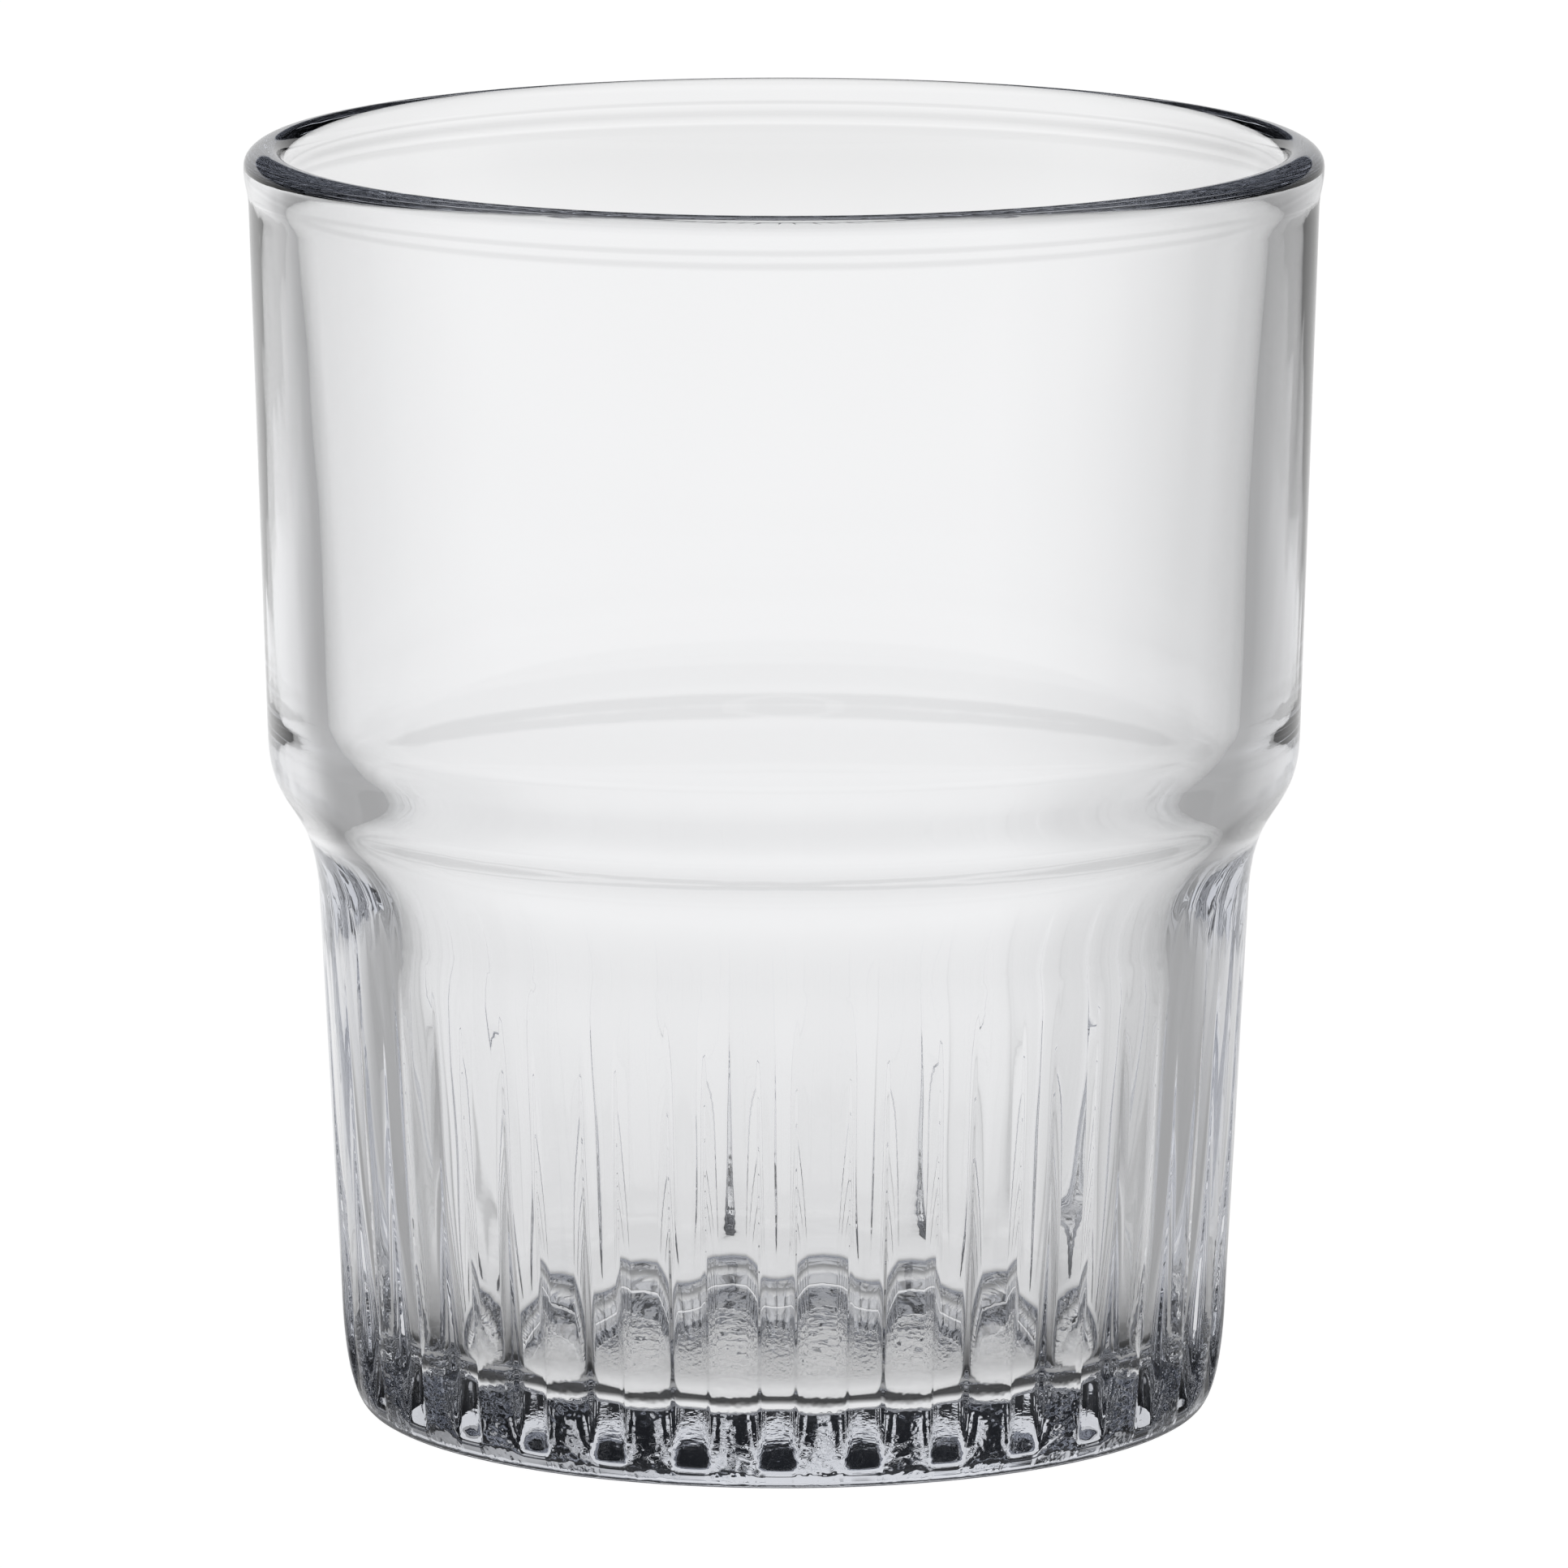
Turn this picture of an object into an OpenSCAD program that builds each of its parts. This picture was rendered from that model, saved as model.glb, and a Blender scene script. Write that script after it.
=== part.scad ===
// Stacking juice glass, pressed in one piece.
// A flared bowl stands on a narrower, thick-walled lower part with upright grooves.
// Millimetres, +Z up, origin on the table in the middle of the foot, front towards -Y.

/* [Overall] */
// Outside diameter of the lip
lip_d = 72; // [66:0.5:80]
// Height from the table to the top of the lip
height = 85.3; // [76:0.1:96]

/* [Lip] */
// Glass thickness of the lip under its round top
lip_wall = 2.9; // [2.4:0.05:3.6]
// Distance of the lip's crest from its outside
lip_crest = 1.65; // [1.2:0.05:2]
// Height of the outside round of the lip
lip_out_h = 1.25; // [0.8:0.05:2]
// Height of the inside round of the lip
lip_in_h = 1.65; // [0.8:0.05:2.4]
// Height of the thicker lip band, from the crest down to the bowl
lip_band_h = 4; // [3:0.1:6]
// How far the lip band stands out from the bowl
lip_proud = 0.33; // [0.1:0.01:0.6]

/* [Bowl] */
// Outside diameter of the bowl where the shoulder starts
bowl_d = 69.2; // [64:0.1:72]
// Glass thickness at the foot of the bowl
bowl_wall = 3.95; // [2.5:0.05:5]
// How far the inside of the bowl swells inwards halfway up
bowl_belly = 0.25; // [0:0.05:0.6]

/* [Shoulder] */
// Height of the bottom of the outside shoulder above the table
shoulder_z = 34.7; // [30:0.1:40]
// Height of the outside shoulder
shoulder_h = 10.8; // [8:0.1:14]
// Reach of the upper round of the outside shoulder
shoulder_upper_reach = 4.9; // [2:0.1:7]
// Reach of the lower round of the outside shoulder
shoulder_lower_reach = 7; // [2:0.1:8]
// How far the inside ledge's foot lies below the bottom of the outside shoulder
ledge_drop = 3.8; // [0:0.1:5]
// Height of the inside ledge
ledge_h = 17.6; // [13:0.1:20]
// Reach of the upper round of the inside ledge
ledge_upper_reach = 6.3; // [4:0.1:10]
// Reach of the lower round of the inside ledge
ledge_lower_reach = 10.6; // [6:0.1:13]

/* [Lower part] */
// Outside diameter at the bottom of the shoulder
waist_d = 62.4; // [58:0.1:66]
// Glass thickness at the foot of the inside ledge
waist_wall = 4.9; // [4:0.1:7]
// Outside diameter where the wall meets the rounded heel
heel_d = 59.7; // [56:0.1:63]
// Glass thickness where the wall meets the floor fillet
heel_wall = 5.65; // [4:0.05:7]
// Height of the rounded heel
heel_h = 7; // [5:0.1:10]

/* [Foot] */
// Diameter of the circle where the heel meets the table
foot_d = 55.9; // [53:0.1:57]
// Diameter of the hollow under the base
hollow_d = 46; // [36:0.5:50]
// Depth of the hollow under the base
hollow_h = 0.8; // [0.3:0.05:1.5]
// Height of the inside floor above the table
floor_z = 4.3; // [3.5:0.1:7]
// Radius of the fillet between the floor and the inside wall
floor_fillet_r = 3; // [1.5:0.1:6]

/* [Grooves] */
// Number of upright grooves around the lower part
groove_n = 32; // [16:1:40]
// Radius of one groove's round section
groove_r = 1.8; // [1:0.05:3]
// Depth of the grooves at the top of the heel
groove_depth = 0.6; // [0.1:0.05:0.8]
// Height of the plain band between the groove tops and the shoulder
groove_gap = 5.7; // [3:0.1:12]
// Turn of the grooves about the axis, in degrees
groove_turn = -0.8; // [-6:0.1:6]

/* [Hidden] */
$fn = 128;

// Facets along one round of the profile
round_steps = 12;
// Share of a quarter round that its two handles take
round_share = 0.55;
// Flats around a groove's cutter
cutter_flats = 24;
// Spare length of a groove's cutter past each end of the groove
cutter_spare = 3;

// Outside radii
lip_out_r = lip_d / 2;
crest_r = lip_out_r - lip_crest;
bowl_top_r = lip_out_r - lip_proud;
bowl_r = bowl_d / 2;
waist_r = waist_d / 2;
heel_r = heel_d / 2;
foot_r = foot_d / 2;
hollow_r = hollow_d / 2;

// Inside radii, each the outside less the glass there
lip_in_r = lip_out_r - lip_wall;
bowl_in_r = bowl_r - bowl_wall;
waist_in_r = waist_r - waist_wall;
floor_in_r = heel_r - heel_wall;

// Heights
lip_out_z = height - lip_out_h;
lip_in_z = height - lip_in_h;
lip_band_z = height - lip_band_h;
shoulder_top_z = shoulder_z + shoulder_h;
ledge_z = shoulder_z - ledge_drop;
ledge_top_z = ledge_z + ledge_h;
floor_top_z = floor_z + floor_fillet_r;
groove_top_z = shoulder_z - groove_gap;

// Lean of each wall, as its growth in radius for one millimetre of height
bowl_lean = (bowl_top_r - bowl_r) / (lip_band_z - shoulder_top_z);
lower_lean = (waist_r - heel_r) / (shoulder_z - heel_h);
lower_in_lean = (waist_in_r - floor_in_r) / (ledge_z - floor_top_z);

// The inside of the bowl: its height, its mean lean, and how much less and more it leans at its ends
bowl_in_h = lip_in_z - ledge_top_z;
bowl_in_lean = (lip_in_r - bowl_in_r) / bowl_in_h;
belly_lean = 4 * bowl_belly / bowl_in_h;
bowl_foot_lean = bowl_in_lean - belly_lean;
bowl_mouth_lean = bowl_in_lean + belly_lean;

// Points on an arc of a circle, both ends included
function arc(centre, r, from, to) =
    [for (i = [0:round_steps])
        let (a = from + (to - from) * i / round_steps)
        centre + r * [cos(a), sin(a)]];

// Points on a smooth curve that leaves one end and arrives at the other along its two handles
function curve(start, start_handle, end_handle, end) =
    [for (i = [0:round_steps])
        let (t = i / round_steps, u = 1 - t)
        u * u * u * start
        + 3 * u * u * t * (start + start_handle)
        + 3 * u * t * t * (end + end_handle)
        + t * t * t * end];

// All points but the last, where the next stretch starts
function but_last(points) = [for (i = [0:len(points) - 2]) points[i]];

// Points on the lip's inside round, from its foot up to the crest
function lip_inside() =
    curve([lip_in_r, lip_in_z], [bowl_mouth_lean, 1] * lip_in_h * round_share,
          [-(crest_r - lip_in_r) * round_share, 0], [crest_r, height]);

// Points on the lip's outside round, from the crest down to its widest place
function lip_outside() =
    curve([crest_r, height], [lip_crest * round_share, 0],
          [0, lip_out_h * round_share], [lip_out_r, lip_out_z]);

// Points on the lip's band, from its widest place down to where it has run into the bowl
function lip_band() =
    let (run = (lip_out_z - lip_band_z) / 2)
    curve([lip_out_r, lip_out_z], [0, -run], [bowl_lean, 1] * run, [bowl_top_r, lip_band_z]);

// Points on the outside shoulder, from the bowl down to the lower wall
function shoulder() =
    curve([bowl_r, shoulder_top_z], [-bowl_lean, -1] * shoulder_upper_reach,
          [lower_lean, 1] * shoulder_lower_reach, [waist_r, shoulder_z]);

// Points on the rounded heel, from the wall down to the table
function heel_round() =
    curve([heel_r, heel_h], [-lower_lean, -1] * heel_h * round_share,
          [(heel_r - foot_r) * round_share, 0], [foot_r, 0]);

// Points on the inside ledge, from the lower wall up to the bowl
function ledge() =
    curve([waist_in_r, ledge_z], [lower_in_lean, 1] * ledge_lower_reach,
          [-bowl_foot_lean, -1] * ledge_upper_reach, [bowl_in_r, ledge_top_z]);

// Points on the inside of the bowl, from the ledge up to the lip
function bowl_inside() =
    curve([bowl_in_r, ledge_top_z], [bowl_foot_lean, 1] * bowl_in_h / 3,
          [-bowl_mouth_lean, -1] * bowl_in_h / 3, [lip_in_r, lip_in_z]);

// Points on the hollow under the base, from its edge to the axis
function hollow_round() =
    [for (i = [0:round_steps])
        let (t = 1 - i / round_steps)
        [hollow_r * t, hollow_h * (1 - t * t)]];

// Outside radius of the lower wall at a height
function wall_r(z) = heel_r + lower_lean * (z - heel_h);

// Half section of the glass, clockwise from the inside of the lip
module half_section()
{
    polygon(concat(
        but_last(lip_inside()),
        but_last(lip_outside()),
        lip_band(),
        shoulder(),
        heel_round(),
        hollow_round(),
        [[0, floor_z]],
        arc([floor_in_r - floor_fillet_r, floor_top_z], floor_fillet_r, -90, 0),
        but_last(ledge()),
        but_last(bowl_inside())
    ));
}

// One groove's cutter, leaning in towards the foot so that the groove fades out at its top
module groove_cutter()
{
    top_r = wall_r(groove_top_z) + groove_r;
    heel_axis_r = heel_r - groove_depth + groove_r;
    rise = groove_top_z - heel_h;
    lean = atan2(top_r - heel_axis_r, rise);
    translate([heel_axis_r, 0, heel_h])
        rotate([0, lean, 0])
            translate([0, 0, -heel_h - cutter_spare])
                linear_extrude(groove_top_z / cos(lean) + 2 * cutter_spare)
                    polygon([for (i = [0:cutter_flats - 1])
                        let (a = (i + 0.5) * 360 / cutter_flats)
                        groove_r * [cos(a), sin(a)]]);
}

// The whole glass
module tumbler()
{
    color([0.88, 0.92, 0.92, 0.45])
        difference() {
            rotate_extrude()
                half_section();
            for (i = [0:groove_n - 1])
                rotate([0, 0, groove_turn + i * 360 / groove_n])
                    groove_cutter();
        }
}

tumbler();
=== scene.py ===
"""A pressed stacking juice glass on a pale studio floor."""

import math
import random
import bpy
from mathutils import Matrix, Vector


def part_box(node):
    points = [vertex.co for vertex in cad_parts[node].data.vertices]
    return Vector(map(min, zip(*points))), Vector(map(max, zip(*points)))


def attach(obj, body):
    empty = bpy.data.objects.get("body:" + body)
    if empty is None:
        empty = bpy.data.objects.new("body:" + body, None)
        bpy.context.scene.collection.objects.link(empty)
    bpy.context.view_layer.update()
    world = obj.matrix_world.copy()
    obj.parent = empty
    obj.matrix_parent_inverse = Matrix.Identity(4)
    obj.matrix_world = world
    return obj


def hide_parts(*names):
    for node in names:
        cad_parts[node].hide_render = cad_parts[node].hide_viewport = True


bl_info = {
    "name": "Stacking Juice Glass",
    "version": (1, 0, 0),
    "blender": (4, 5, 0),
    "location": "View3D > Sidebar > Juice Glass",
    "description": "Presses a fluted stacking juice glass and sets it on a pale studio floor",
    "category": "Object",
}

import bmesh
import bpy
from bpy.props import FloatProperty, FloatVectorProperty, IntProperty, PointerProperty
from mathutils import Matrix, Vector

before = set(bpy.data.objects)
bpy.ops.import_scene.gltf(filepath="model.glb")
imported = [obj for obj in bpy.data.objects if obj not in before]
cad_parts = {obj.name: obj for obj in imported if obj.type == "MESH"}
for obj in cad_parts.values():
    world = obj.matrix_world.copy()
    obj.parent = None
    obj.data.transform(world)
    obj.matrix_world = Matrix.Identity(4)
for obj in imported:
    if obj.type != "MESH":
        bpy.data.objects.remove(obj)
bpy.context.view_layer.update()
low_corner, high_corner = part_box("tumbler")

MM = 0.001
WHITE = (1.0, 1.0, 1.0, 1.0)
# Share of a quarter round that its two handles take
ROUND_SHARE = 0.55
# Points closer than this are one point
SAME_POINT = 0.001 * MM
# Vertices closer than this are merged after the spin
MERGE_GAP = 0.0001 * MM
# Room that a test leaves beside an edge of the mesh
EDGE_ROOM = 0.01 * MM
# Room that a material leaves beside an edge of the glass
SURFACE_ROOM = 0.1 * MM
# Mesh rows along each stretch of the outline
FLOOR_ROWS = 4
FILLET_ROWS = 10
WALL_ROWS = 5
LEDGE_ROWS = 22
BOWL_ROWS = 10
LIP_ROWS = 9
PLAIN_ROWS = 2
SHOULDER_ROWS = 20
GROOVE_ROWS = 42
HEEL_ROWS = 16
RING_ROWS = 8
HOLLOW_ROWS = 8
# Mesh columns across half a groove, a flank and half a reed, as shares of each
GROOVE_COLUMNS = (0.0, 0.38, 0.74, 1.0)
FLANK_COLUMNS = (0.35, 0.7, 1.0)
REED_COLUMNS = (0.45, 1.0)
SECTION_STEPS = len(GROOVE_COLUMNS + FLANK_COLUMNS + REED_COLUMNS) - 1
# Seed of the pits on the foot
PIT_SEED = 7
# Light paths that thick pressed glass needs
BOUNCES = 32
GLOSSY_BOUNCES = 16


def length(name, millimetres, description):
    """A size in metres, written in millimetres."""
    return FloatProperty(
        name=name, description=description, default=millimetres * MM, min=0.0, unit="LENGTH", precision=5
    )


def level(name, default, description):
    """A brightness, a share or another number without a unit."""
    return FloatProperty(name=name, description=description, default=default, min=0.0, precision=3)


def angle(name, degrees, description):
    """An angle in radians, written in degrees."""
    radians = math.radians(degrees)
    return FloatProperty(name=name, description=description, default=radians, subtype="ANGLE")


class GlassSizes(bpy.types.PropertyGroup):
    """Sizes of the glass."""

    lip_d: length("Lip", (high_corner.x - low_corner.x) / MM, "Outside diameter of the lip")
    height: length("Height", high_corner.z / MM, "Height from the table to the top of the lip")
    lip_wall: length("Lip wall", 2.9, "Glass thickness of the lip under its round top")
    lip_crest: length("Lip crest", 1.65, "Distance of the lip's crest from its outside")
    lip_out_h: length("Lip outside round", 1.25, "Height of the outside round of the lip")
    lip_in_h: length("Lip inside round", 1.65, "Height of the inside round of the lip")
    lip_band_h: length("Lip band", 4.0, "Height of the thicker lip band below the crest")
    lip_proud: length("Lip stand-out", 0.33, "How far the lip band stands out from the bowl")
    bowl_d: length("Bowl", 69.2, "Outside diameter of the bowl where the shoulder starts")
    bowl_wall: length("Bowl wall", 3.95, "Glass thickness at the foot of the bowl")
    bowl_belly: length("Bowl belly", 0.25, "How far the inside of the bowl swells inwards halfway up")
    shoulder_z: length("Shoulder foot", 34.7, "Height of the bottom of the outside shoulder")
    shoulder_h: length("Shoulder", 10.8, "Height of the outside shoulder")
    shoulder_upper_reach: length("Shoulder upper round", 4.9, "Reach of the upper round of the shoulder")
    shoulder_lower_reach: length("Shoulder lower round", 7.0, "Reach of the lower round of the shoulder")
    ledge_drop: length("Ledge drop", 3.8, "How far the ledge's foot lies below the shoulder's foot")
    ledge_h: length("Ledge", 17.6, "Height of the inside ledge")
    ledge_upper_reach: length("Ledge upper round", 6.3, "Reach of the upper round of the ledge")
    ledge_lower_reach: length("Ledge lower round", 10.6, "Reach of the lower round of the ledge")
    waist_d: length("Waist", 62.4, "Outside diameter at the bottom of the shoulder")
    waist_wall: length("Waist wall", 4.9, "Glass thickness at the foot of the inside ledge")
    heel_d: length("Heel", 59.7, "Outside diameter where the wall meets the rounded heel")
    heel_wall: length("Heel wall", 5.65, "Glass thickness where the wall meets the floor fillet")
    heel_h: length("Heel height", 7.0, "Height of the rounded heel")
    foot_d: length("Foot", 55.9, "Diameter of the circle where the heel meets the table")
    hollow_d: length("Hollow", 46.0, "Diameter of the hollow under the base")
    hollow_h: length("Hollow depth", 0.8, "Depth of the hollow under the base")
    floor_z: length("Inside floor", 4.3, "Height of the inside floor above the table")
    floor_fillet_r: length("Floor fillet", 3.0, "Radius of the fillet between floor and wall")


class GlassFlutes(bpy.types.PropertyGroup):
    """The upright grooves, the reeds between them and the stippled foot."""

    count: IntProperty(name="Grooves", description="Number of upright grooves", default=32, min=3)
    groove_w: length("Groove width", 2.4, "Width of one groove between the middles of its flanks")
    flank_w: length("Flank width", 0.38, "Width of a groove's flank where it is deepest")
    soft_w: length("Soft flank width", 0.5, "Width that a flank gains up to the top of the grooves")
    groove_share: level("Groove hollow", 0.12, "Share of the depth in a groove's hollow floor")
    reed_share: level("Reed round", 0.25, "Share of the depth taken by the round of a reed")
    groove_depth: length("Groove depth", 0.75, "Depth of the grooves where they are deepest")
    soft_depth: length("Soft depth", 0.08, "Depth of the shallow top of the grooves")
    groove_top: length("Groove top", 34.0, "Height where the grooves fade out")
    deep_top: length("Deep top", 29.0, "Height where the grooves start to deepen")
    groove_foot: length("Groove foot", 5.5, "Height below which the grooves are at their deepest")
    fade: level("Fade", 2.8, "How slowly the grooves deepen below their tops")
    turn: angle("Turn", -0.8, "Turn of the grooves about the axis")
    stipple_depth: length("Stipple depth", 0.25, "Depth of the pits on the resting ring")
    stipple_gap: length("Stipple gap", 0.2, "Plain edge between the pits and the outside of the foot")


class GlassFinish(bpy.types.PropertyGroup):
    """Finish of the glass."""

    tint: FloatVectorProperty(
        name="Tint",
        description="Colour that thick glass turns towards",
        default=(0.86, 0.885, 0.95),
        size=3,
        min=0.0,
        max=1.0,
        subtype="COLOR",
    )
    density: level("Density", 18.0, "How strongly a metre of glass takes light away")
    ior: level("Refraction", 1.52, "Index of refraction of soda-lime glass")
    roughness: level("Roughness", 0.012, "Most roughness that the mould leaves")
    wave_height: length("Mould waves", 0.02, "Height of the slow waves that the mould leaves")
    wave_scale: level("Wave scale", 160.0, "Mould waves in a metre round the glass")
    wave_stretch: level("Wave stretch", 0.25, "Mould waves up the glass for each one round it")
    grain_height: length("Underside grain", 0.08, "Height of the grain in the middle of the underside")
    grain_scale: level("Grain scale", 600.0, "Grains of the underside in a metre")
    grain_full_r: length("Grain middle", 8.5, "Radius up to which the underside's grain is full")
    grain_r: length("Grain radius", 17.0, "Radius at which the grain of the underside has faded out")
    texture_height: length("Reed texture", 0.03, "Height of the fine texture on the reeds")
    texture_scale: level("Texture scale", 1500.0, "Bumps of the reeds' texture in a metre")
    texture_full: length("Texture full", 3.4, "Height up to which the reeds' texture is full")
    texture_top: length("Texture top", 17.0, "Height at which the reeds' texture has faded out")
    reed_start: level("Reed start", 0.65, "Cosine across a groove where the texture starts")
    reed_full: level("Reed full", 0.2, "Cosine across a groove where the texture is full")
    haze_scale: level("Haze scale", 90.0, "Patches of haze in a metre")
    haze_low: level("Haze low", 0.35, "Noise up to which the glass is fully smooth")
    haze_high: level("Haze high", 0.75, "Noise at which the glass has its most roughness")


class StudioStage(bpy.types.PropertyGroup):
    """Floor, surroundings, lamp and camera."""

    floor_size: length("Floor", 6000.0, "Half the width of the floor")
    floor_albedo: level("Floor colour", 0.3, "How pale the floor is in the lamps' light")
    # The floor's glow is even white to the camera, and carries the painted pool of light and painted shade
    # to the glass
    floor_glow: level("Floor glow", 0.97, "What brings the floor up to white in the picture")
    # Painted pool of light: brightness painted on the floor behind the glass, which only the glass sees
    painted_pool_level: level("Pool level", 0.905, "Brightness of the floor behind the glass")
    # These sectors dim the surroundings' light at the sides, and paint the same dim sides onto the floor as
    # painted shade
    left_bright: angle("Left bright", 22.0, "Turn to the left of behind up to which it is bright")
    left_dim: angle("Left dim", 48.0, "Turn to the left of behind at which it is dim")
    right_bright: angle("Right bright", 2.0, "Turn to the right of behind up to which it is bright")
    right_dim: angle("Right dim", 45.0, "Turn to the right of behind at which it is dim")
    dim_level: level("Dim level", 0.33, "Brightness of the sides away from the glass")
    side_shift: length("Side shift", 20.0, "Distance from the axis from which the sides are measured")
    close_dim_level: level("Close dim level", 0.45, "Brightness of the sides close to the glass")
    close_r: length("Close", 200.0, "Radius up to which the sides have their close level")
    open_r: length("Open", 330.0, "Radius at which the sides have their full dimness")
    front_start: angle("Front start", 66.0, "Angle from behind at which the sides end")
    front_turn: angle("Front sector", 102.0, "Angle from behind at which the front is fully bright")
    front_level: level("Front level", 0.82, "Brightness in front of the glass")
    # Painted shade on the floor in front of the foot, dark close to it and bright again further out
    painted_front_shade_level: level("Foot front level", 0.04, "Brightness of the floor in front right at the foot")
    foot_front_start: length("Foot front", 34.0, "Radius up to which the floor in front is dark")
    foot_front_end: length("Foot front edge", 66.0, "Radius at which the floor in front is bright")
    # Painted shadow of the glass on the floor beside and under its foot, fading out by the near edge
    beside_start: level("Beside start", 0.95, "Share of the foot's radius at which the dim sides start")
    beside_end: level("Beside end", 1.15, "Share of the foot's radius at which the dim sides are full")
    under_share: level("Under share", 0.6, "Share of the foot's radius that is bright underneath")
    under_level: level("Under level", 0.98, "Brightness of the floor under the hollow of the glass")
    beside_level: level("Beside level", 0.8, "Brightness of the floor beside the foot of the glass")
    glass_shadow_start: length("Near start", 30.0, "Radius up to which the glass fully darkens the floor")
    glass_shadow_end: length("Near edge", 175.0, "Radius at which the floor is no longer darkened")
    # Painted contact shadow on the floor under the resting ring
    contact_shadow_level: level("Contact level", 0.06, "Brightness of the floor under the resting ring")
    contact_shadow_core: length("Contact core", 1.5, "Distance from the ring's middle up to which it is darkest")
    contact_shadow_edge: length("Contact edge", 4.5, "Distance from the ring's middle at which it is no darker")
    # Painted shade: a soft grey band painted on the floor far behind the glass
    shade_band_r: length("Far band", 580.0, "Radius of the soft grey band on the floor far behind the glass")
    shade_band_core: length("Far band core", 39.0, "Distance from the band's middle up to which it is fully grey")
    shade_band_w: length("Far band width", 130.0, "Distance from the band's middle at which it has faded out")
    shade_band_level: level("Far band level", 0.89, "Brightness of the grey band in its middle")
    # Painted falloff of the pool of light on the floor far away; the far level also sets the backdrop's
    # brightness in the surroundings
    far_start: length("Pool", 760.0, "Radius up to which the floor has its pool level")
    far_end: length("Pool edge", 1200.0, "Radius at which the floor has its far level")
    far_level: level("Far level", 0.78, "Brightness of the floor far away")
    backdrop_low: angle("Backdrop", 9.4, "Elevation up to which the backdrop is bright")
    backdrop_high: angle("Backdrop edge", 10.6, "Elevation above which the room is dark")
    room_level: level("Room", 0.015, "Brightness of the room above the backdrop")
    room_tint: FloatVectorProperty(
        name="Room tint",
        description="Colour of the dark room",
        default=(0.88, 0.95, 1.12),
        size=3,
        min=0.0,
        subtype="COLOR",
    )
    overhead_start: level("Overhead start", 0.6, "Sine of the elevation where the pale overhead starts")
    overhead_full: level("Overhead full", 0.85, "Sine of the elevation where the pale overhead is full")
    overhead_level: level("Overhead", 0.25, "Brightness of the surroundings overhead")
    lamp_power: level("Lamp", 3.2, "Power of the soft lamp overhead, in watts")
    lamp_size: length("Lamp size", 2400.0, "Width of the soft lamp overhead")
    lamp_height: length("Lamp height", 1500.0, "Height of the soft lamp overhead")
    camera_distance: length("Camera distance", 959.66, "Distance in front of the axis")
    camera_height: length("Camera height", 214.46, "Height above the floor")
    camera_pitch: angle("Camera pitch", 10.187, "How far the camera looks down")
    lens: level("Lens", 333.5, "Focal length of the camera, in millimetres")
    sensor: level("Sensor", 36.0, "Width of the sensor, in millimetres")


def arc(centre, radius, start, end, steps):
    """Points on an arc in the outline's plane, both ends included."""
    turns = [start + (end - start) * i / steps for i in range(steps + 1)]
    return [(centre[0] + radius * math.cos(t), centre[1] + radius * math.sin(t)) for t in turns]


def straight(start, end, steps):
    """Evenly spaced points on a straight stretch, both ends included."""
    shares = [i / steps for i in range(steps + 1)]
    return [(start[0] + (end[0] - start[0]) * t, start[1] + (end[1] - start[1]) * t) for t in shares]


def curve(start, start_handle, end_handle, end, steps):
    """Points on a smooth curve that leaves one end and arrives at the other along its two handles."""
    first = Vector(start)
    last = Vector(end)
    corners = (first, first + Vector(start_handle), last + Vector(end_handle), last)
    points = []
    for i in range(steps + 1):
        t = i / steps
        u = 1.0 - t
        weights = (u * u * u, 3 * u * u * t, 3 * u * t * t, t * t * t)
        points.append(tuple(sum((w * c for w, c in zip(weights, corners)), Vector((0.0, 0.0)))))
    return points


def lip_outline(sizes, mouth_lean, bowl_lean):
    """Points on the lip, from its inside foot over the crest and down its band to the bowl."""
    lip_r = sizes.lip_d / 2
    crest = (lip_r - sizes.lip_crest, sizes.height)
    inside = (lip_r - sizes.lip_wall, sizes.height - sizes.lip_in_h)
    widest = (lip_r, sizes.height - sizes.lip_out_h)
    band_foot = (lip_r - sizes.lip_proud, sizes.height - sizes.lip_band_h)
    rise = sizes.lip_in_h * ROUND_SHARE
    run = (sizes.lip_band_h - sizes.lip_out_h) / 2
    crest_inside = ((inside[0] - crest[0]) * ROUND_SHARE, 0.0)
    crest_outside = (sizes.lip_crest * ROUND_SHARE, 0.0)
    widest_up = (0.0, sizes.lip_out_h * ROUND_SHARE)
    return (
        curve(inside, (mouth_lean * rise, rise), crest_inside, crest, LIP_ROWS)
        + curve(crest, crest_outside, widest_up, widest, LIP_ROWS)
        + curve(widest, (0.0, -run), (bowl_lean * run, run), band_foot, LIP_ROWS)
    )


def hollow_round(sizes):
    """Points on the hollow under the base, from its edge to the axis."""
    shares = [1.0 - i / HOLLOW_ROWS for i in range(HOLLOW_ROWS + 1)]
    return [(sizes.hollow_d / 2 * t, sizes.hollow_h * (1.0 - t * t)) for t in shares]


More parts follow.
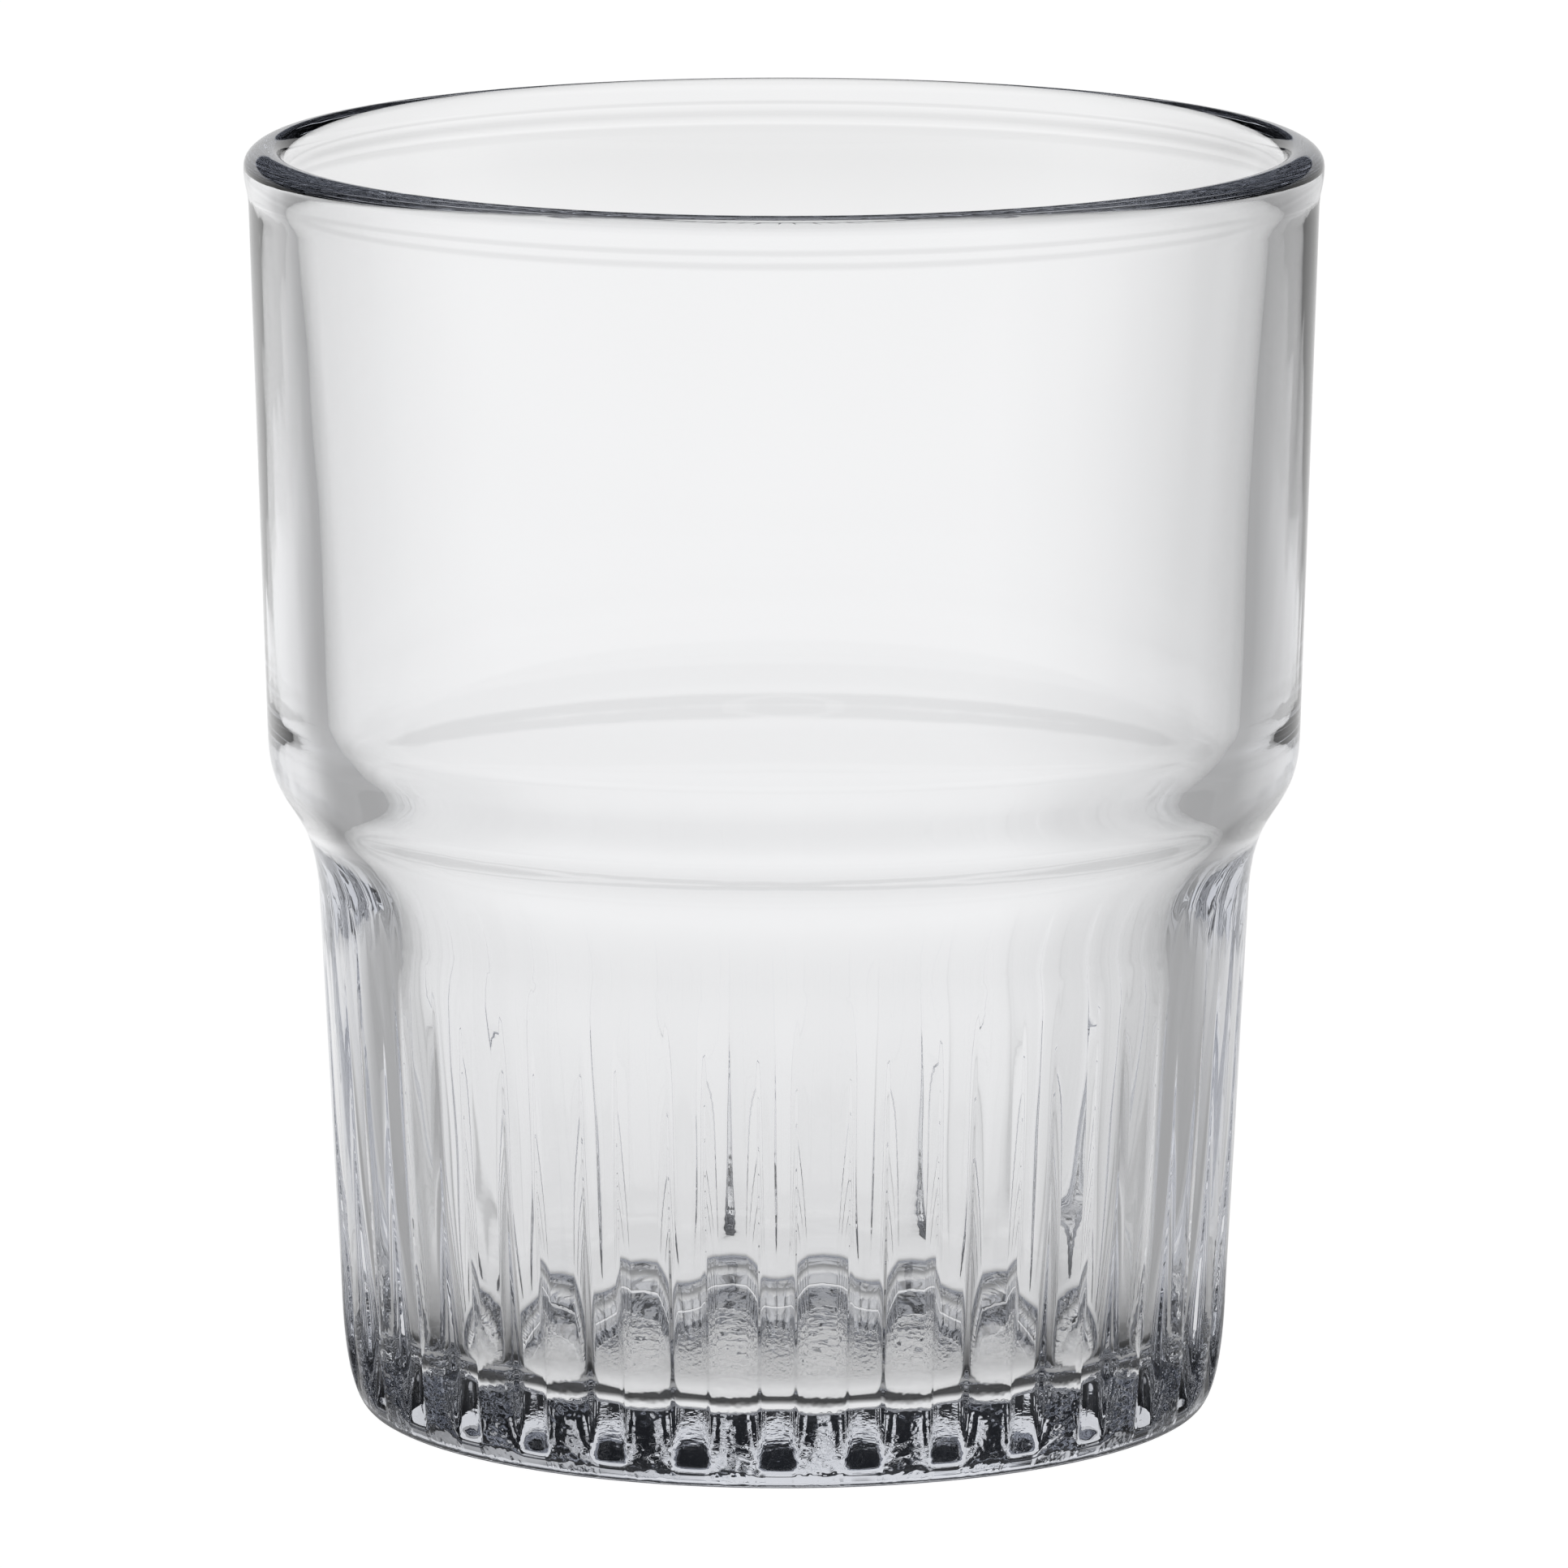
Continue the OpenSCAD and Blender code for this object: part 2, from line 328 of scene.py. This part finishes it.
def glass_outline(sizes, flutes):
    """Half section of the glass, from the middle of its floor over the lip to its underside."""
    lip_r = sizes.lip_d / 2
    bowl_r = sizes.bowl_d / 2
    waist_r = sizes.waist_d / 2
    heel_r = sizes.heel_d / 2
    foot_r = sizes.foot_d / 2
    fillet = sizes.floor_fillet_r
    floor_r = heel_r - sizes.heel_wall
    floor_top = sizes.floor_z + fillet
    ledge_z = sizes.shoulder_z - sizes.ledge_drop
    ledge_foot = (waist_r - sizes.waist_wall, ledge_z)
    ledge_top = (bowl_r - sizes.bowl_wall, ledge_z + sizes.ledge_h)
    lip_in = (lip_r - sizes.lip_wall, sizes.height - sizes.lip_in_h)
    band_foot = (lip_r - sizes.lip_proud, sizes.height - sizes.lip_band_h)
    shoulder_top = (bowl_r, sizes.shoulder_z + sizes.shoulder_h)
    shoulder_foot = (waist_r, sizes.shoulder_z)

    bowl_lean = (band_foot[0] - bowl_r) / (band_foot[1] - shoulder_top[1])
    lower_lean = (waist_r - heel_r) / (sizes.shoulder_z - sizes.heel_h)
    lower_in_lean = (ledge_foot[0] - floor_r) / (ledge_z - floor_top)
    bowl_in_h = lip_in[1] - ledge_top[1]
    bowl_in_lean = (lip_in[0] - ledge_top[0]) / bowl_in_h
    belly_lean = 4.0 * sizes.bowl_belly / bowl_in_h
    foot_lean = bowl_in_lean - belly_lean
    mouth_lean = bowl_in_lean + belly_lean
    groove_start = (heel_r + lower_lean * (flutes.groove_top - sizes.heel_h), flutes.groove_top)

    fillet_arc = arc((floor_r - fillet, floor_top), fillet, -math.pi / 2, 0.0, FILLET_ROWS)
    upper = sizes.ledge_upper_reach
    lower = sizes.ledge_lower_reach
    foot_handle = (lower_in_lean * lower, lower)
    top_handle = (-foot_lean * upper, -upper)
    ledge = curve(ledge_foot, foot_handle, top_handle, ledge_top, LEDGE_ROWS)
    third = bowl_in_h / 3
    foot_handle = (foot_lean * third, third)
    top_handle = (-mouth_lean * third, -third)
    bowl_inside = curve(ledge_top, foot_handle, top_handle, lip_in, BOWL_ROWS)
    upper = sizes.shoulder_upper_reach
    lower = sizes.shoulder_lower_reach
    top_handle = (-bowl_lean * upper, -upper)
    foot_handle = (lower_lean * lower, lower)
    shoulder = curve(shoulder_top, top_handle, foot_handle, shoulder_foot, SHOULDER_ROWS)
    drop = sizes.heel_h * ROUND_SHARE
    top_handle = (-lower_lean * drop, -drop)
    foot_handle = ((heel_r - foot_r) * ROUND_SHARE, 0.0)
    heel = curve((heel_r, sizes.heel_h), top_handle, foot_handle, (foot_r, 0.0), HEEL_ROWS)

    stretches = [
        straight((0.0, sizes.floor_z), fillet_arc[0], FLOOR_ROWS),
        fillet_arc,
        straight(fillet_arc[-1], ledge_foot, WALL_ROWS),
        ledge,
        bowl_inside,
        lip_outline(sizes, mouth_lean, bowl_lean),
        straight(band_foot, shoulder_top, PLAIN_ROWS),
        shoulder,
        straight(shoulder_foot, groove_start, PLAIN_ROWS),
        straight(groove_start, (heel_r, sizes.heel_h), GROOVE_ROWS),
        heel,
        straight((foot_r, 0.0), (sizes.hollow_d / 2, 0.0), RING_ROWS),
        hollow_round(sizes),
    ]
    outline = []
    for point in (p for stretch in stretches for p in stretch):
        if not outline or math.dist(point, outline[-1]) > SAME_POINT:
            outline.append(point)
    return outline


def eased(share):
    """A share that is kept between 0 and 1 and leaves both ends gently."""
    share = min(max(share, 0.0), 1.0)
    return share * share * (3.0 - 2.0 * share)


def depth_at(height, flutes):
    """Depth of the grooves at a height, eased in below their tops."""
    deep = eased((flutes.deep_top - height) / (flutes.deep_top - flutes.groove_foot))
    soft = eased((flutes.groove_top - height) / (2.0 * (flutes.groove_top - flutes.deep_top)))
    return flutes.groove_depth * deep ** flutes.fade + flutes.soft_depth * soft


def groove_line(height, sizes, flutes):
    """Radius of the grooves' middles at a height, upright round the heel."""
    heel_r = sizes.heel_d / 2
    lean = (sizes.waist_d / 2 - heel_r) / (sizes.shoulder_z - sizes.heel_h)
    return heel_r + lean * max(height - sizes.heel_h, 0.0) - depth_at(height, flutes)


def flute_section(height, sizes, flutes):
    """Turn and drop of each mesh column from a groove's middle to a reed's crest."""
    half_pitch = math.pi / flutes.count
    soft = min(max((height - sizes.heel_h) / (flutes.groove_top - sizes.heel_h), 0.0), 1.0)
    deep = depth_at(height, flutes) / flutes.groove_depth
    flank_w = flutes.flank_w * deep + flutes.soft_w * soft ** 2
    groove = (flutes.groove_w - flank_w) / sizes.heel_d
    flank = groove + 2.0 * flank_w / sizes.heel_d
    section = []
    for share in GROOVE_COLUMNS:
        section.append((groove * share, 1.0 - flutes.groove_share * share ** 2))
    for share in FLANK_COLUMNS:
        drop = (1.0 - flutes.groove_share) * (1.0 - share) + flutes.reed_share * share
        section.append((groove + (flank - groove) * share, drop))
    for share in REED_COLUMNS:
        section.append((flank + (half_pitch - flank) * share, flutes.reed_share * (1.0 - share) ** 2))
    return section


def press_flutes(mesh, sizes, flutes):
    """Presses the grooves into the lower wall and round the heel."""
    pitch = 2.0 * math.pi / flutes.count
    step = pitch / 2 / SECTION_STEPS
    inside_r = sizes.heel_d / 2 - sizes.heel_wall / 2
    for vert in mesh.verts:
        radius = math.hypot(vert.co.x, vert.co.y)
        on_wall = radius > inside_r and vert.co.z < flutes.groove_top
        if not on_wall or (vert.co.z <= 0.0 and radius < sizes.foot_d / 2 - EDGE_ROOM):
            continue
        turn = math.atan2(vert.co.y, vert.co.x)
        middle = pitch * round(turn / pitch)
        column, drop = flute_section(vert.co.z, sizes, flutes)[round(abs(turn - middle) / step)]
        turn = middle + math.copysign(column, turn - middle)
        radius -= drop * max(radius - groove_line(vert.co.z, sizes, flutes), 0.0)
        vert.co.x = radius * math.cos(turn)
        vert.co.y = radius * math.sin(turn)


def press_stipple(mesh, sizes, flutes):
    """Presses uneven pits into the ring that the glass rests on."""
    chance = random.Random(PIT_SEED)
    inner = sizes.hollow_d / 2 + EDGE_ROOM
    outer = sizes.foot_d / 2 - flutes.stipple_gap
    for vert in mesh.verts:
        if vert.co.z < SAME_POINT and inner < math.hypot(vert.co.x, vert.co.y) < outer:
            vert.co.z += flutes.stipple_depth * chance.random()


def node(tree, kind, values=(), **settings):
    """A new node with its settings, and with its inputs set or linked."""
    made = tree.nodes.new(kind)
    for name, value in settings.items():
        setattr(made, name, value)
    for key, value in dict(values).items():
        if isinstance(value, bpy.types.NodeSocket):
            tree.links.new(value, made.inputs[key])
        else:
            made.inputs[key].default_value = value
    return made


def smooth_range(tree, value, start, end, low, high):
    """A value that eases from low at start to high at end."""
    settings = {"Value": value, "From Min": start, "From Max": end, "To Min": low, "To Max": high}
    return node(tree, "ShaderNodeMapRange", settings, interpolation_type="SMOOTHSTEP").outputs["Result"]


def even_range(tree, value, start, end, low, high):
    """A value that goes evenly from low at start to high at end."""
    settings = {"Value": value, "From Min": start, "From Max": end, "To Min": low, "To Max": high}
    return node(tree, "ShaderNodeMapRange", settings).outputs["Result"]


def calculate(tree, operation, first, second=0.0):
    """The result of one sum, product or other calculation on two values."""
    return node(tree, "ShaderNodeMath", {0: first, 1: second}, operation=operation).outputs[0]


def blend(tree, share, first, second):
    """The first value where share is 0, and the second where it is 1."""
    return node(tree, "ShaderNodeMix", {0: share, 2: first, 3: second}, data_type="FLOAT").outputs[0]


def noise(tree, place, scale, detail):
    """Even noise with its scale in bumps to a metre."""
    values = {"Vector": place, "Scale": scale, "Detail": detail}
    return node(tree, "ShaderNodeTexNoise", values).outputs["Fac"]


def relief(tree, height, distance, below=None):
    """Fine relief on the surface, laid over the relief below it."""
    values = {"Height": height, "Strength": 1.0, "Distance": distance}
    if below is not None:
        values["Normal"] = below
    return node(tree, "ShaderNodeBump", values).outputs["Normal"]


def reed_mask(tree, place, radius, rise, sizes, flutes, finish):
    """One on the outside of the reeds low on the glass, and nothing in the grooves."""
    parts = node(tree, "ShaderNodeSeparateXYZ", {"Vector": place}).outputs
    turn = calculate(tree, "SUBTRACT", calculate(tree, "ARCTAN2", parts["Y"], parts["X"]), flutes.turn)
    swing = calculate(tree, "COSINE", calculate(tree, "MULTIPLY", turn, float(flutes.count)))
    reed = smooth_range(tree, swing, finish.reed_start, finish.reed_full, 0.0, 1.0)
    outside = calculate(tree, "GREATER_THAN", radius, sizes.foot_d / 2 - SURFACE_ROOM)
    low = smooth_range(tree, rise, finish.texture_full, finish.texture_top, 1.0, 0.0)
    on_reed = calculate(tree, "MULTIPLY", reed, outside)
    return calculate(tree, "MULTIPLY", on_reed, calculate(tree, "POWER", low, 2.0))


def clear_glass(sizes, flutes, finish):
    """Clear pressed glass with mould waves, a grainy underside, textured reeds and a faint cold tint."""
    material = bpy.data.materials.new("clear_pressed_glass")
    material.use_nodes = True
    tree = material.node_tree
    tree.nodes.clear()
    place = node(tree, "ShaderNodeTexCoord").outputs["Object"]
    upright = node(tree, "ShaderNodeMapping", {"Vector": place, "Scale": (1.0, 1.0, finish.wave_stretch)})
    waves = noise(tree, upright.outputs["Vector"], finish.wave_scale, 2.0)
    waved = relief(tree, waves, finish.wave_height)
    flat = node(tree, "ShaderNodeMapping", {"Vector": place, "Scale": (1.0, 1.0, 0.0)}).outputs["Vector"]
    radius = node(tree, "ShaderNodeVectorMath", {0: flat}, operation="LENGTH").outputs["Value"]
    rise = node(tree, "ShaderNodeSeparateXYZ", {"Vector": place}).outputs["Z"]
    low = calculate(tree, "LESS_THAN", rise, sizes.hollow_h + SURFACE_ROOM)
    middle = smooth_range(tree, radius, finish.grain_full_r, finish.grain_r, 1.0, 0.0)
    under = calculate(tree, "MULTIPLY", low, middle)
    grains = noise(tree, flat, finish.grain_scale, 2.0)
    grained = relief(tree, calculate(tree, "MULTIPLY", grains, under), finish.grain_height, waved)
    bumps = noise(tree, place, finish.texture_scale, 1.0)
    reeds = reed_mask(tree, place, radius, rise, sizes, flutes, finish)
    textured = relief(tree, calculate(tree, "MULTIPLY", bumps, reeds), finish.texture_height, grained)
    haze = noise(tree, place, finish.haze_scale, 3.0)
    rough = even_range(tree, haze, finish.haze_low, finish.haze_high, 0.0, finish.roughness)
    glass = node(
        tree,
        "ShaderNodeBsdfPrincipled",
        {
            "Base Color": WHITE,
            "Roughness": rough,
            "IOR": finish.ior,
            "Transmission Weight": 1.0,
            "Normal": textured,
        },
    )
    thick = {"Color": (*finish.tint, 1.0), "Density": finish.density}
    tint = node(tree, "ShaderNodeVolumeAbsorption", thick)
    output = node(tree, "ShaderNodeOutputMaterial")
    tree.links.new(glass.outputs["BSDF"], output.inputs["Surface"])
    tree.links.new(tint.outputs["Volume"], output.inputs["Volume"])
    return material


def sector(tree, vector, dim, facing, stage):
    """Brightness around the glass: full behind it, dim at its sides, and the given one in front; on the
    floor this is painted light and shade, in the surroundings it is their light.
    """
    parts = node(tree, "ShaderNodeSeparateXYZ", {"Vector": vector}).outputs
    turn = calculate(tree, "ARCTAN2", parts["X"], parts["Y"])
    left = smooth_range(tree, turn, -stage.left_dim, -stage.left_bright, dim, 1.0)
    right = even_range(tree, turn, stage.right_bright, stage.right_dim, 1.0, dim)
    away = calculate(tree, "ABSOLUTE", turn)
    front = smooth_range(tree, away, stage.front_start, stage.front_turn, 0.0, 1.0)
    return blend(tree, front, calculate(tree, "MINIMUM", left, right), facing)


def painted_floor_light(tree, place, sizes, stage):
    """Painted light and shade on the floor as the glass sees it: a painted pool of light, bright behind and
    in front and dim at the sides, with painted shadow near the foot and a painted band of shade far behind.
    """
    distance = node(tree, "ShaderNodeVectorMath", {0: place}, operation="LENGTH").outputs["Value"]
    foot_r = sizes.foot_d / 2
    ring_r = (sizes.foot_d + sizes.hollow_d) / 4
    start_r = stage.beside_start * foot_r
    end_r = stage.beside_end * foot_r
    beside = smooth_range(tree, distance, start_r, end_r, 0.0, 1.0)
    parts = node(tree, "ShaderNodeSeparateXYZ", {"Vector": place}).outputs
    reach = {"Value": parts["X"], "Min": -stage.side_shift, "Max": stage.side_shift}
    inner = node(tree, "ShaderNodeClamp", reach).outputs[0]
    outer = calculate(tree, "SUBTRACT", parts["X"], inner)
    from_side = node(tree, "ShaderNodeCombineXYZ", {"X": outer, "Y": parts["Y"]}).outputs[0]
    sides = (stage.close_dim_level, stage.dim_level)
    dim = smooth_range(tree, distance, stage.close_r, stage.open_r, *sides)
    # painted shade in front of the foot
    front = (stage.painted_front_shade_level, stage.front_level)
    facing = smooth_range(tree, distance, stage.foot_front_start, stage.foot_front_end, *front)
    # painted dim sides and painted shade in front, in the same sectors as the surroundings' light
    around = blend(tree, beside, 1.0, sector(tree, from_side, dim, facing, stage))
    # painted shadow of the glass under and beside its foot
    under_r = stage.under_share * foot_r
    low = smooth_range(tree, distance, under_r, foot_r, stage.under_level, stage.beside_level)
    painted_glass_shadow = smooth_range(tree, distance, stage.glass_shadow_start, stage.glass_shadow_end, low, 1.0)
    # painted contact shadow under the resting ring
    off_ring = calculate(tree, "ABSOLUTE", calculate(tree, "SUBTRACT", distance, ring_r))
    ring = (stage.contact_shadow_core, stage.contact_shadow_edge)
    painted_contact_shadow = smooth_range(tree, off_ring, *ring, stage.contact_shadow_level, 1.0)
    # painted pool of light, fading far away, crossed by a painted band of shade
    far = smooth_range(tree, distance, stage.far_start, stage.far_end, stage.painted_pool_level, stage.far_level)
    off_shade_band = calculate(tree, "ABSOLUTE", calculate(tree, "SUBTRACT", distance, stage.shade_band_r))
    # painted band of shade far behind the glass
    band = smooth_range(tree, off_shade_band, stage.shade_band_core, stage.shade_band_w, stage.shade_band_level, 1.0)
    close = calculate(tree, "MULTIPLY", calculate(tree, "MULTIPLY", around, painted_glass_shadow), painted_contact_shadow)
    return calculate(tree, "MULTIPLY", close, calculate(tree, "MULTIPLY", band, far))


def floor_paper(sizes, stage):
    """Pale floor that is white to the camera, keeps the shadow, and shows the glass a painted pool of light
    and painted shade.
    """
    material = bpy.data.materials.new("pale_studio_floor")
    material.use_nodes = True
    tree = material.node_tree
    tree.nodes.clear()
    place = node(tree, "ShaderNodeTexCoord").outputs["Object"]
    seen = node(tree, "ShaderNodeLightPath").outputs["Is Camera Ray"]
    # even white to the camera; to the glass, painted light and shade
    shade = blend(tree, seen, painted_floor_light(tree, place, sizes, stage), 1.0)
    channels = {name: shade for name in ("Red", "Green", "Blue")}
    colour = node(tree, "ShaderNodeCombineColor", channels).outputs[0]
    pale = {0: colour, "Scale": stage.floor_albedo}
    paper = node(tree, "ShaderNodeVectorMath", pale, operation="SCALE")
    lit = node(tree, "ShaderNodeBsdfDiffuse", {"Color": paper.outputs[0]})
    # the glow carries the painted pool of light and painted shade to the glass
    glow = node(tree, "ShaderNodeEmission", {"Color": colour, "Strength": stage.floor_glow})
    both = node(tree, "ShaderNodeAddShader", {0: lit.outputs[0], 1: glow.outputs[0]})
    output = node(tree, "ShaderNodeOutputMaterial")
    tree.links.new(both.outputs[0], output.inputs["Surface"])
    return material


def studio_world(stage):
    """Surroundings: white to the camera, and to the glass a low bright backdrop in a dark room."""
    world = bpy.data.worlds.new("soft_studio")
    world.use_nodes = True
    tree = world.node_tree
    tree.nodes.clear()
    direction = node(tree, "ShaderNodeTexCoord").outputs["Generated"]
    rise = node(tree, "ShaderNodeSeparateXYZ", {"Vector": direction}).outputs["Z"]
    low = math.sin(stage.backdrop_low)
    high = math.sin(stage.backdrop_high)
    backdrop = smooth_range(tree, rise, low, high, stage.far_level, stage.room_level)
    around = sector(tree, direction, stage.dim_level, stage.front_level, stage)
    room = calculate(tree, "MULTIPLY", backdrop, around)
    overhead = smooth_range(tree, rise, stage.overhead_start, stage.overhead_full, 0.0, 1.0)
    seen = node(tree, "ShaderNodeLightPath").outputs["Is Camera Ray"]
    strength = blend(tree, seen, blend(tree, overhead, room, stage.overhead_level), 1.0)
    dark = smooth_range(tree, rise, low, high, 0.0, 1.0)
    plain = calculate(tree, "MAXIMUM", overhead, seen)
    tinted = calculate(tree, "MULTIPLY", dark, calculate(tree, "SUBTRACT", 1.0, plain))
    colours = {0: tinted, 6: WHITE, 7: (*stage.room_tint, 1.0)}
    colour = node(tree, "ShaderNodeMix", colours, data_type="RGBA").outputs[2]
    glow = node(tree, "ShaderNodeBackground", {"Color": colour, "Strength": strength})
    output = node(tree, "ShaderNodeOutputWorld")
    tree.links.new(glow.outputs[0], output.inputs["Surface"])
    return world


def place_mesh(name, mesh, material):
    """A new object at the origin that holds a finished bmesh."""
    data = bpy.data.meshes.new(name)
    mesh.to_mesh(data)
    mesh.free()
    data.materials.append(material)
    made = bpy.data.objects.new(name, data)
    bpy.context.scene.collection.objects.link(made)
    return made


class JUICEGLASS_OT_press_tumbler(bpy.types.Operator):
    """Press the glass: lip, bowl, shoulder, fluted lower wall and foot in one piece."""

    bl_idname = "juice_glass.press_tumbler"
    bl_label = "Press tumbler"

    def execute(self, context):
        sizes = context.scene.glass_sizes
        flutes = context.scene.glass_flutes
        mesh = bmesh.new()
        outline = glass_outline(sizes, flutes)
        verts = [mesh.verts.new((radius, 0.0, height)) for radius, height in outline]
        edges = [mesh.edges.new(pair) for pair in zip(verts, verts[1:])]
        bmesh.ops.spin(
            mesh,
            geom=verts + edges,
            axis=(0.0, 0.0, 1.0),
            angle=2.0 * math.pi,
            steps=flutes.count * 2 * SECTION_STEPS,
            use_merge=True,
        )
        bmesh.ops.remove_doubles(mesh, verts=mesh.verts, dist=MERGE_GAP)
        bmesh.ops.recalc_face_normals(mesh, faces=mesh.faces)
        press_flutes(mesh, sizes, flutes)
        press_stipple(mesh, sizes, flutes)
        bmesh.ops.rotate(mesh, verts=mesh.verts, matrix=Matrix.Rotation(flutes.turn, 3, "Z"))
        if any(not edge.is_manifold for edge in mesh.edges):
            raise RuntimeError("the tumbler's wall isn't closed")
        for face in mesh.faces:
            face.smooth = True
        glass = clear_glass(sizes, flutes, context.scene.glass_finish)
        tumbler = place_mesh("pressed_tumbler", mesh, glass)
        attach(tumbler, "root")
        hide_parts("tumbler")
        return {"FINISHED"}


class JUICEGLASS_OT_set_stage(bpy.types.Operator):
    """Set the pale floor, the surroundings, the soft lamp and the camera."""

    bl_idname = "juice_glass.set_stage"
    bl_label = "Set stage"

    def execute(self, context):
        scene = context.scene
        stage = scene.studio_stage
        mesh = bmesh.new()
        bmesh.ops.create_grid(mesh, x_segments=1, y_segments=1, size=stage.floor_size)
        place_mesh("studio_floor", mesh, floor_paper(scene.glass_sizes, stage))
        scene.world = studio_world(stage)

        lamp_data = bpy.data.lights.new("soft_overhead", "AREA")
        lamp_data.shape = "DISK"
        lamp_data.size = stage.lamp_size
        lamp_data.energy = stage.lamp_power
        lamp = bpy.data.objects.new("soft_overhead", lamp_data)
        lamp.location = (0.0, 0.0, stage.lamp_height)
        scene.collection.objects.link(lamp)

        camera_data = bpy.data.cameras.new("photo_camera")
        camera_data.lens = stage.lens
        camera_data.sensor_width = stage.sensor
        camera = bpy.data.objects.new("photo_camera", camera_data)
        camera.location = (0.0, -stage.camera_distance, stage.camera_height)
        camera.rotation_euler = (math.pi / 2 - stage.camera_pitch, 0.0, 0.0)
        scene.collection.objects.link(camera)
        scene.camera = camera
        scene.view_settings.view_transform = "Standard"
        scene.cycles.max_bounces = BOUNCES
        scene.cycles.transmission_bounces = BOUNCES
        scene.cycles.glossy_bounces = GLOSSY_BOUNCES
        return {"FINISHED"}


class JUICEGLASS_PT_sidebar(bpy.types.Panel):
    """Lists the steps and the values that they read."""

    bl_idname = "JUICEGLASS_PT_sidebar"
    bl_label = "Juice Glass"
    bl_space_type = "VIEW_3D"
    bl_region_type = "UI"
    bl_category = "Juice Glass"

    def draw(self, context):
        scene = context.scene
        for operator in (JUICEGLASS_OT_press_tumbler, JUICEGLASS_OT_set_stage):
            self.layout.operator(operator.bl_idname)
        for group in (scene.glass_sizes, scene.glass_flutes, scene.glass_finish, scene.studio_stage):
            box = self.layout.box()
            for name in group.__annotations__:
                box.prop(group, name)


GROUPS = {
    "glass_sizes": GlassSizes,
    "glass_flutes": GlassFlutes,
    "glass_finish": GlassFinish,
    "studio_stage": StudioStage,
}
CLASSES = (*GROUPS.values(), JUICEGLASS_OT_press_tumbler, JUICEGLASS_OT_set_stage, JUICEGLASS_PT_sidebar)


def register():
    """Registers the classes and hangs the values on the scene."""
    for kind in CLASSES:
        bpy.utils.register_class(kind)
    for name, kind in GROUPS.items():
        setattr(bpy.types.Scene, name, PointerProperty(type=kind))


def unregister():
    """Takes the values off the scene and removes the classes."""
    for name in GROUPS:
        delattr(bpy.types.Scene, name)
    for kind in reversed(CLASSES):
        bpy.utils.unregister_class(kind)


def main():
    """Builds the glass and its stage."""
    register()
    bpy.ops.juice_glass.press_tumbler()
    bpy.ops.juice_glass.set_stage()


if __name__ == "__main__":
    main()
